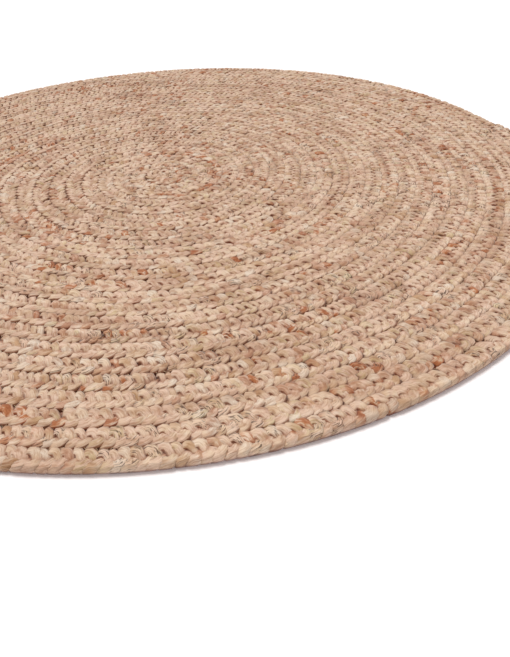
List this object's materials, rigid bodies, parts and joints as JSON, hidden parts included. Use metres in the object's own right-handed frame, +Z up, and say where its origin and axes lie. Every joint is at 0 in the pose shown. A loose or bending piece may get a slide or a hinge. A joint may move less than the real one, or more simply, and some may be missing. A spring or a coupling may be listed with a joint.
{
  "type": "round braided jute rug",
  "caption": "Round area rug: one flat three-strand jute braid coiled from the centre, sewn turn to turn with thread, with a tapered outer end.",
  "frame": {"origin": "middle of the rug's outline on the floor, at the underside of the braid", "axes": "+Z up out of the pile-free top face; +X towards the tapered outer end of the braid, which lies at the rug's right edge"},
  "size_m": [1.2, 1.1878, 0.0106],
  "materials": {
    "jute_braid": "rough natural jute fibre, undyed, sandy beige with tan, rust and pale strands",
    "sewing_thread": "matte spun sewing thread, undyed"
  },
  "bodies": {
    "root": {"braid_start": "jute_braid", "braid_turn_01": "jute_braid", "braid_turn_02": "jute_braid", "braid_turn_03": "jute_braid", "braid_turn_04": "jute_braid", "braid_turn_05": "jute_braid", "braid_turn_06": "jute_braid", "braid_turn_07": "jute_braid", "braid_turn_08": "jute_braid", "braid_turn_09": "jute_braid", "braid_turn_10": "jute_braid", "braid_turn_11": "jute_braid", "braid_turn_12": "jute_braid", "braid_turn_13": "jute_braid", "braid_turn_14": "jute_braid", "braid_turn_15": "jute_braid", "braid_turn_16": "jute_braid", "braid_turn_17": "jute_braid", "braid_turn_18": "jute_braid", "braid_turn_19": "jute_braid", "braid_turn_20": "jute_braid", "braid_turn_21": "jute_braid", "braid_turn_22": "jute_braid", "braid_turn_23": "jute_braid", "braid_turn_24": "jute_braid", "braid_tail": "jute_braid", "seam_thread_01": "sewing_thread", "seam_thread_02": "sewing_thread", "seam_thread_03": "sewing_thread", "seam_thread_04": "sewing_thread", "seam_thread_05": "sewing_thread", "seam_thread_06": "sewing_thread", "seam_thread_07": "sewing_thread", "seam_thread_08": "sewing_thread", "seam_thread_09": "sewing_thread", "seam_thread_10": "sewing_thread", "seam_thread_11": "sewing_thread", "seam_thread_12": "sewing_thread", "seam_thread_13": "sewing_thread", "seam_thread_14": "sewing_thread", "seam_thread_15": "sewing_thread", "seam_thread_16": "sewing_thread", "seam_thread_17": "sewing_thread", "seam_thread_18": "sewing_thread", "seam_thread_19": "sewing_thread", "seam_thread_20": "sewing_thread", "seam_thread_21": "sewing_thread", "seam_thread_22": "sewing_thread", "seam_thread_23": "sewing_thread", "seam_thread_tail": "sewing_thread", "start_tack": "sewing_thread", "tail_tack": "sewing_thread"}
  },
  "joints": []
}
